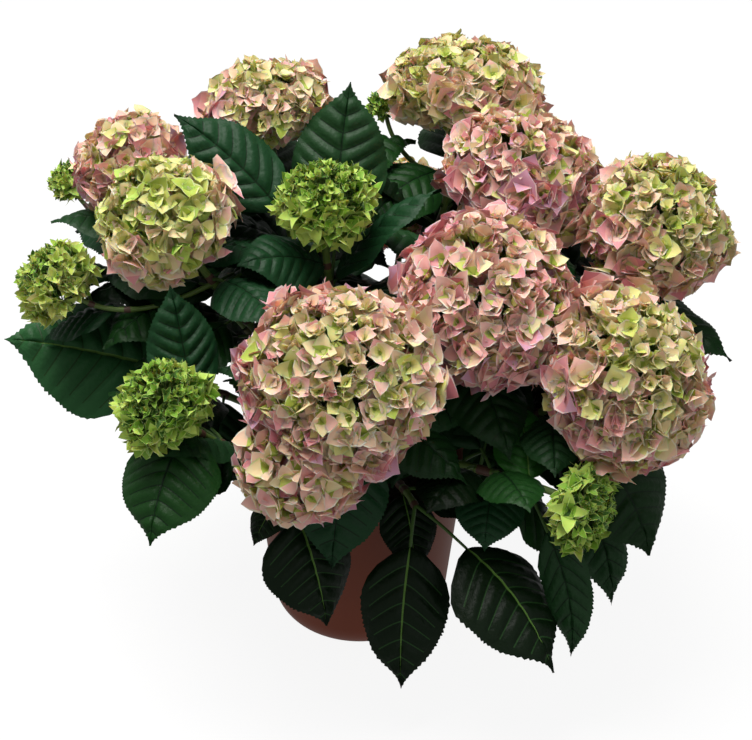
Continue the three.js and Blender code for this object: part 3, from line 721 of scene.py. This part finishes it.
# Flower heads: florets of four cupped sepals, each on its own little stalk.
class SepalGrid:
    """The cells of a sepal: rows of points from claw to tip, and a tip point closed by triangles."""

    def __init__(self, rows, columns):
        self.rows, self.columns = np.array(rows + (1.0,)), np.array(columns, float)
        across = len(columns)
        cells = np.arange(across - 1)
        self.tip = len(rows) * across
        self.quads = grid_quads(len(rows), across)
        last = self.tip - across + cells
        self.tris = np.stack([last, last + 1, np.full(across - 1, self.tip)], axis=-1)
        self.cell_row = np.repeat(np.arange(len(rows) - 1), across - 1)
        self.tip_edge = np.isin(cells, (0, across - 2))
        self.cell_edge = np.tile(self.tip_edge, len(rows) - 1)
        self.share = np.linspace(0, 1, len(rows) - 1)


FINE_SEPAL = SepalGrid((0.04, 0.24, 0.46, 0.68, 0.86), (-1, -0.88, -0.45, 0, 0.45, 0.88, 1))
PLAIN_SEPAL = SepalGrid((0.05, 0.4, 0.74), (-1, -0.82, 0, 0.82, 1))
# One sepal, in sepal lengths and degrees. Each rise is the angle when shut, what it loses when laid
# open, and its spread. Length, cup and width are least and greatest values.
SEPAL = Named(
    half_width=0.49, outline=(0.75, 1.02, 0.3), drawn=(0.5, 0.62), claw=0.12, most_bow=0.6,
    rise_in=(76, 32, 7), rise_out=(42, 72, 15), curl=1.3, length=(0.78, 1.14), cup=(0.5, 1.0),
    width=(0.88, 1.12), narrowing=(1.04, 0.2), stray=0.12, twist=0.16, flute=0.025,
)
# A floret's colour, in steps of the palette: how its sepals spread, the throat's, and the rim's
TONE = Named(
    stray=0.5, pink=1.5, green=0.8, throat=(0.6, 2.1, 0.2), green_throat=1.3, fade=0.8, rim=(4.6, 3),
)
# A head's colour: where its rim begins and ends, the waves of its drifts, and their share and stray
DRIFT = Named(rim=(0.5, 1.75), waves=(2.3, 3.1), share=0.8, stray=0.95)
EYE = Named(size=0.085, lift=0.12)


def sepal_points(grid, length, rise_in, rise_out, cup, width, twist, flute):
    """Sepals in their own frame, x along and z up: arrays of one value a sepal give points (n, k, 3)."""
    steps = 20
    fine = np.linspace(0, 1, steps + 1)
    rise = rise_in[:, None] + (rise_out - rise_in)[:, None] * fine ** SEPAL.curl
    step = length[:, None] / steps
    none = np.zeros((len(length), 1))
    x = np.concatenate([none, np.cumsum(np.cos(rise[:, 1:]) * step, axis=1)], axis=1)
    z = np.concatenate([none, np.cumsum(np.sin(rise[:, 1:]) * step, axis=1)], axis=1)
    at = grid.rows * steps
    low = np.minimum(at.astype(int), steps - 1)
    part = at - low

    def row(values):
        return (values[:, low] * (1 - part) + values[:, low + 1] * part)[:, :, None]

    swell, taper, scale = SEPAL.outline
    outline = grid.rows**swell * (1 - grid.rows) ** taper / scale
    loss, start = SEPAL.drawn
    outline = outline * (1 - loss * smooth_step(grid.rows, start, 1))
    half = SEPAL.half_width * outline * width[:, None] * length[:, None]
    y = half[:, :, None] * grid.columns
    claw = SEPAL.claw * length[:, None, None]
    bow = cup[:, None, None] * y**2 / (2 * (np.maximum(row(x), 0) + claw))
    bow = np.minimum(bow, SEPAL.most_bow * np.abs(y))
    ruffle = flute[:, None, None] * length[:, None, None] * np.sin(3 * np.pi * grid.rows)[:, None]
    bow = bow + ruffle * grid.columns
    lean = twist[:, None, None] * grid.rows[:, None]
    along = row(x) - np.sin(row(rise)) * bow
    up = row(z) + np.cos(row(rise)) * bow + y * lean
    points = np.stack([along, y, up], axis=-1)
    body = points[:, :-1].reshape(len(length), -1, 3)
    return np.concatenate([body, points[:, -1:, len(grid.columns) // 2]], axis=1)


def turn_to(normals, spin):
    """Frames whose third axis is each normal, turned about it by spin: arrays of rows x, y, z."""
    helper = np.where(np.abs(normals[:, 2:]) < 0.9, [[0.0, 0.0, 1.0]], [[1.0, 0.0, 0.0]])
    first = unit(np.cross(helper, normals))
    second = np.cross(normals, first)
    c, s = np.cos(spin)[:, None], np.sin(spin)[:, None]
    return np.stack([first * c + second * s, second * c - first * s, normals], axis=1)


def spiral(count, spread, rng):
    """Even directions over a cap, as polar and around angles, by the golden angle."""
    k = np.arange(count)
    polar = np.arccos(1 - (k + 0.5) / count * (1 - math.cos(math.radians(spread))))
    around = k * math.pi * (3 - math.sqrt(5)) + BLOOM.stray * rng.random(count)
    return polar, around


def head_points(shoot, polar, around, scale):
    local = round_points(np.sin(polar), around, np.cos(polar))
    half = np.array(shoot.half)
    axes = head_frame(shoot)
    out = unit((local / half) @ axes)
    return shoot.end + (local * half * np.asarray(scale)[..., None]) @ axes, out


def head_kind(shoot):
    return GREEN_HEAD if shoot.tone < FIRST_PINK_HEAD else OPEN_HEAD


def floret_tones(shoot, polar, out, rng):
    """Where each floret lies on the palette: pinker at the rim and underneath, and in drifts."""
    shape = shoot.tone + shoot.ring * smooth_step(polar, *DRIFT.rim)
    drift = sum(np.sin(out @ rng.normal(size=3) * wave + rng.random() * 6) for wave in DRIFT.waves)
    uneven = DRIFT.share * drift + DRIFT.stray * rng.normal(size=len(polar))
    return shape + head_kind(shoot).lively * uneven


def add_florets(blooms, grid, places, normals, tones, size, openness, slim, rng):
    """Florets at places, facing along normals. Openness goes from 0, a deep cup, to 1, laid open."""
    count = len(places)
    each = np.repeat(np.arange(count), 4)

    def stray(scale):
        return rng.normal(scale=scale, size=len(each))

    spin = np.repeat(rng.random(count) * np.pi / 2, 4) + np.tile(np.arange(4) * np.pi / 2, count)
    spin = spin + stray(SEPAL.stray)
    opened = np.repeat(openness, 4) + stray(SEPAL.stray)
    length = np.repeat(size, 4) * rng.uniform(*SEPAL.length, len(each))
    rises = [
        np.radians(shut - fall * opened + stray(spread))
        for shut, fall, spread in (SEPAL.rise_in, SEPAL.rise_out)
    ]
    cup = rng.uniform(*SEPAL.cup, len(each))
    full, less = SEPAL.narrowing
    width = rng.uniform(*SEPAL.width, len(each)) * (full - less * np.clip(opened, 0, 1)) * slim
    twist = stray(SEPAL.twist)
    flute = stray(SEPAL.flute)
    points = sepal_points(grid, length, *rises, cup, width, twist, flute)
    frames = turn_to(normals[each], spin)
    world = np.einsum("nkc,ncd->nkd", points, frames) + places[each][:, None]
    tone = tones[each]
    tone = tone + stray(TONE.stray) * np.where(tone > FIRST_PINK_HEAD, TONE.pink, TONE.green)
    less, base, share = TONE.throat
    throat = np.minimum(tone - less, base + share * tone)
    throat = np.where(tone < FIRST_PINK_HEAD, tone - TONE.green_throat, throat)
    per_row = throat[:, None] + (tone - throat)[:, None] * grid.share ** TONE.fade
    body = np.clip(np.rint(per_row), 0, RIM_AT - 1).astype(int)
    first, step = TONE.rim
    pink_rim = 1 + np.clip(np.rint((tone - first) / step), 0, 2)
    rim = RIM_AT + np.where(tone < FIRST_PINK_HEAD, 0, pink_rim).astype(int)
    slots = np.where(grid.cell_edge & (grid.cell_row > 0), rim[:, None], body[:, grid.cell_row])
    base = (np.arange(len(each)) * (grid.tip + 1))[:, None, None]
    tip_slots = np.where(grid.tip_edge, rim[:, None], body[:, -1:])
    blooms.add(world, grid.quads[None] + base, slots.ravel(), grid.tris[None] + base, tip_slots.ravel())
    if grid is FINE_SEPAL:
        add_eyes(blooms, places, normals, size)


def add_eyes(blooms, places, normals, size):
    """The little round bud in the middle of each floret."""
    corners = np.array([(1, 0, 0), (0, 1, 0), (-1, 0, 0), (0, -1, 0), (0, 0, 1), (0, 0, -1)], float)
    sides = [(k, (k + 1) % 4) for k in range(4)]
    faces = np.array([(a, b, 4) for a, b in sides] + [(b, a, 5) for a, b in sides])
    frames = turn_to(normals, np.zeros(len(places)))
    local = corners[None] * (size * EYE.size)[:, None, None]
    middle = places + normals * (size * EYE.lift)[:, None]
    world = np.einsum("nkc,ncd->nkd", local, frames) + middle[:, None]
    tris = faces[None] + (np.arange(len(places)) * 6)[:, None, None]
    blooms.add(world, np.zeros((0, 4), int), EYE_AT, tris, EYE_AT)


def add_stalks(stems, lines, radius):
    """Thin three-sided stalks along lines, an array (n, points, 3)."""
    count, steps, _ = lines.shape
    frames = turn_to(unit(lines[:, -1] - lines[:, 0]), np.zeros(count))
    corners = ring(frames[:, 0], frames[:, 1], 3)
    points = lines[:, :, None] + corners[:, None] * radius
    quads = grid_quads(steps, 3, wrap=True)[None] + (np.arange(count) * steps * 3)[:, None, None]
    stems.add(points, quads, 1)


def lumps(directions, rng, waves=3):
    """A smooth uneven field over directions, about -1 to 1."""
    field = np.zeros(len(directions))
    for _ in range(waves):
        field += np.sin(directions @ rng.normal(size=3) * 2.6 + rng.random() * 2 * np.pi)
    return field / waves


def clusters(out, area, rng):
    """Each floret's way out from the middle of its cluster, and how far out it lies, 0 to about 1."""
    number = max(4, int(area / HEAD.cluster ** 2))
    knots = out[rng.permutation(len(out))[:number]]
    near = knots[np.argmax(out @ knots.T, axis=1)]
    away = (out - near) * math.sqrt(number) / 1.6
    reach = np.linalg.norm(away, axis=1, keepdims=True)
    return away / np.maximum(reach, 1), np.minimum(reach[:, 0], 1.2)


def grow_head(blooms, stems, shoot, rng):
    across, deep, along = shoot.half
    sepal = shoot.sepal
    girdle = (across + deep) / 2
    area = 2 * math.pi * girdle * (girdle + along) / 2 * (1 - math.cos(math.radians(BLOOM.spread)))
    kind = head_kind(shoot)
    grid = PLAIN_SEPAL if kind is GREEN_HEAD else FINE_SEPAL
    count = int(area / (sepal * kind.spacing) ** 2)
    polar, around = spiral(count, BLOOM.spread, rng)
    polar = polar + rng.normal(scale=HEAD.stray, size=count)
    outer = smooth_step(polar, *HEAD.outer)
    low, gain = kind.size
    size = sepal * rng.uniform(*HEAD.sizes, count) * (low + gain * outer)
    low, gain = kind.openness
    openness = np.clip(low + gain * outer + rng.normal(scale=HEAD.open_stray, size=count), -0.3, 1)
    _, out = head_points(shoot, polar, around, np.ones(count))
    tones = floret_tones(shoot, polar, out, rng)
    away, reach = clusters(out, area, rng)
    full, less, uneven = HEAD.sunk
    depth = size * (full - less * openness) + sepal * uneven * rng.random(count) ** 1.5
    depth = depth + sepal * HEAD.cluster_dip * reach**2
    scale = HEAD.swell + HEAD.lump * lumps(out, rng) - depth / (girdle * 0.5 + along * 0.5)
    scale = scale + kind.rim_reach * outer * rng.random(count)
    places, out = head_points(shoot, polar, around, scale)
    normals = unit(out + kind.cluster_tilt * away + rng.normal(scale=kind.tilt, size=(count, 3)))
    add_florets(blooms, grid, places, normals, tones, size, openness, kind.slim, rng)
    hub = shoot.end - shoot.axis * along * HEAD_STALK.hub
    inside = np.full(count, HEAD_STALK.knots)
    knots, _ = head_points(shoot, polar * HEAD_STALK.spread, around, inside)
    middle = (knots + places) / 2 + rng.normal(scale=HEAD_STALK.stray, size=(count, 3))
    lines = np.stack([np.broadcast_to(hub, places.shape), knots, middle, places], axis=1)
    add_stalks(stems, lines, HEAD_STALK.thick)

    inner = int(count * kind.inner_share)
    polar, around = spiral(inner, BLOOM.spread + INNER.wider, rng)
    scale = rng.uniform(*kind.inner, inner)
    places, out = head_points(shoot, polar, around + INNER.turn, scale)
    normals = unit(out + rng.normal(scale=INNER.tilt, size=(inner, 3)))
    tones = shoot.tone + kind.inner_tone + rng.normal(scale=1.0, size=inner)
    tones = np.clip(tones, *kind.inner_tones)
    size = sepal * rng.uniform(*INNER.sizes, inner)
    openness = rng.uniform(*INNER.openness, inner)
    add_florets(blooms, PLAIN_SEPAL, places, normals, tones, size, openness, kind.slim, rng)


# The blossom's pieces: the seed of the first head of each, and its heads
BLOOM_GROUPS = [
    ("bloom_left", 1000, ("back_left_top", "left_upper", "left_outer_bud", "left_middle", "left_green")),
    ("bloom_right", 1050, ("right_upper", "right_outer")),
    ("bloom_top", 1052, ("back_right_top", "back_bud")),
    ("bloom_front", 1100, ("centre_right", "front_centre", "middle_green", "front_lobe")),
    ("bloom_low", 1150, ("right_front", "right_low_green")),
    ("bloom_left_low", 1005, ("left_front_green",)),
    ("bloom_back", 1200, ("back_left_low", "back_low", "back_right_low")),
]


def make_blooms(stems):
    looks = looks_of(PALETTE | RIMS | EYES, "petal")
    for look in looks:
        put(look.node_tree.nodes["Principled BSDF"], PETAL_GLOW)
    for name, seed, members in BLOOM_GROUPS:
        blooms = Joined()
        for number, member in enumerate(members):
            grow_head(blooms, stems, by_name[member], np.random.default_rng(seed + number))
        piece = blooms.build(name, looks)
        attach(piece, "root")
        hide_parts(*("mass_" + by_name[member].owner for member in members))


# Wood: the flared crown and the boughs, with furrowed bark.
WOOD = Named(sides=48, rings=44, furrow=0.9, seed=3)
BOUGH = Named(sides=14, step=2.5, furrow=0.3, seed=20, green_from=0.55)
COLLAR = Named(at=0.6, swell=0.12, long=4)
FURROW_WAVES = (5, 8, 13)
WANDER = ((0.7, 11), (0.4, 4.3))


def furrows(turn, height, seed, depth):
    """Bark relief: ridges that wander round the limb, in millimetres."""
    rng = np.random.default_rng(seed)
    relief = 0
    for waves in FURROW_WAVES:
        shift = rng.random(2) * 6.28
        wander = sum(share * np.sin(height / long + start) for (share, long), start in zip(WANDER, shift))
        relief = relief + np.abs(np.sin(waves * turn / 2 + wander)) * depth / waves * 5
    return relief - depth


def add_crown(wood):
    sides = WOOD.sides
    turn = circle(sides)
    foot, top, flare = SOIL_TOP + CLEAR, SOIL_TOP + CROWN.height, CROWN.flare
    height = np.linspace(foot, top, WOOD.rings)
    flank = (CROWN.foot + CROWN.waist) / 2
    profile_z = [foot, SOIL_TOP + flare / 3, SOIL_TOP + flare, top - CROWN.top, top]
    profile_r = [CROWN.foot, flank, CROWN.waist, CROWN.shoulder, CROWN.top]
    relief = furrows(turn[None], height[:, None], WOOD.seed, WOOD.furrow)
    radii = np.interp(height, profile_z, profile_r)[:, None] + relief
    lean = (CROWN.lean * (height - SOIL_TOP) / CROWN.height)[:, None]
    z = np.broadcast_to(height[:, None], radii.shape)
    points = np.stack([lean + radii * np.cos(turn), radii * np.sin(turn), z], axis=-1)
    wood.add(points, grid_quads(len(height), sides, wrap=True), 0)
    k = np.arange(sides)
    spokes = np.stack([k, (k + 1) % sides, np.full(sides, sides)], axis=-1)
    for rim, z in ((points[0], foot), (points[-1], top)):
        cap = np.concatenate([rim, [[rim[:, 0].mean(), 0, z]]])
        wood.add(cap, np.zeros((0, 4), int), 0, spokes, 0)


def make_wood():
    wood = Joined()
    add_crown(wood)
    turn = circle(BOUGH.sides)
    for number, shoot in enumerate(SHOOTS):
        if not shoot.main:
            continue
        route = shoot.route
        end = route.length * SPLIT
        distance = np.arange(0, end, BOUGH.step)
        radii = np.interp(distance, [0, end], [STEM.bough, STEM.join])[:, None]
        past = (distance - end * COLLAR.at) / COLLAR.long
        radii = radii * (1 + COLLAR.swell * np.exp(-(past**2)))[:, None]
        radii = radii + furrows(turn[None], distance[:, None], BOUGH.seed + number, BOUGH.furrow)
        rings, quads = tube(route.at(distance), route.side[None], radii, BOUGH.sides)
        slots = np.where(distance[:-1] < end * BOUGH.green_from, 0, 1)
        wood.add(rings, quads, np.repeat(slots, BOUGH.sides))
    piece = wood.build("wood", [patterned("bark"), patterned("bark_green")])
    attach(piece, "root")
    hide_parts("crown", *boughs)


# Pot and compost
AXIS_GAP = 0.01
SOIL = Named(sides=120, rings=46, middle=0.5, sunk=2.2, skirt=6, grit=0.45, seed=11)
CLODS = ((17, 0.9), (6.3, 0.8), (2.7, 0.7))


def lathe(profile, sides):
    r, z = np.array(profile, float).T
    return round_points(r[:, None], circle(sides), z[:, None]), grid_quads(len(profile), sides, wrap=True)


def arc(cx, cz, radius, start, stop, steps):
    angles = np.radians(np.linspace(start, stop, steps))
    return [(cx + radius * math.cos(a), cz + radius * math.sin(a)) for a in angles]


def make_pot():
    """The pot's wall turned round its axis. The small offsets round off the edges of its lip."""
    tilt = math.degrees(math.atan(POT.slope))
    top, wall, lip = POT.height, POT.wall, POT.lip
    under = top - POT.lip_height
    base, rim = pot_wall(under) + lip, pot_wall(top) + lip
    outer = arc(POT.foot, POT.corner, POT.corner, -90, -tilt, 18)
    inner = arc(POT.foot, POT.corner, POT.corner - wall, -90, -tilt, 14)
    profile = [
        (AXIS_GAP, 0),
        (POT.foot * 0.9, 0),
        *outer,
        (pot_wall(under - 2), under - 2),
        (pot_wall(under) + 0.2, under - 0.4),
        (base - 0.6, under + 0.2),
        (base, under + POT.lip_round),
        (rim, top - 2.2),
        (rim - 0.7, top - 0.6),
        (rim - 2, top),
        (pot_wall(top, wall) + 0.8, top),
        (pot_wall(top, wall), top - 1),
        *[(r, max(z, POT.floor)) for r, z in reversed(inner)],
        (AXIS_GAP, POT.floor),
    ]
    rings, quads = lathe(profile, POT.sides)
    piece = mesh_object("pot_shell", [patterned("pot_plastic")], rings.reshape(-1, 3), quads)
    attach(piece, "root")
    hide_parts("pot")


def make_soil():
    rng = np.random.default_rng(SOIL.seed)
    inset = POT.wall + CLEAR
    radii = np.linspace(SOIL.middle, pot_wall(SOIL_TOP, inset), SOIL.rings)
    r, a = np.meshgrid(radii, circle(SOIL.sides), indexing="ij")
    x, y = r * np.cos(a), r * np.sin(a)
    clods = sum(
        np.sin(x / size + rng.random() * 6) * np.sin(y / size + rng.random() * 6) * depth
        for size, depth in CLODS
    )
    z = SOIL_TOP - SOIL.sunk + clods + rng.normal(scale=SOIL.grit, size=r.shape)
    low, floor = SOIL_TOP - SOIL.skirt, POT.floor + CLEAR
    skirt = [(pot_wall(low, inset), low), (POT.foot, floor), (SOIL.middle, floor)]
    points = np.concatenate([np.stack([x, y, z], axis=-1), lathe(skirt, SOIL.sides)[0]])
    quads = grid_quads(len(points), SOIL.sides, wrap=True)
    piece = mesh_object("compost", [patterned("compost")], points.reshape(-1, 3), quads)
    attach(piece, "root")
    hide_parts("soil")


make_camera()
make_studio()
make_pot()
make_soil()
make_wood()
make_leaves()
stems = make_stems()
make_blooms(stems)
stem_piece = stems.build("stems", looks_of(STEMS, "stem"))
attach(stem_piece, "root")
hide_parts(*masses)
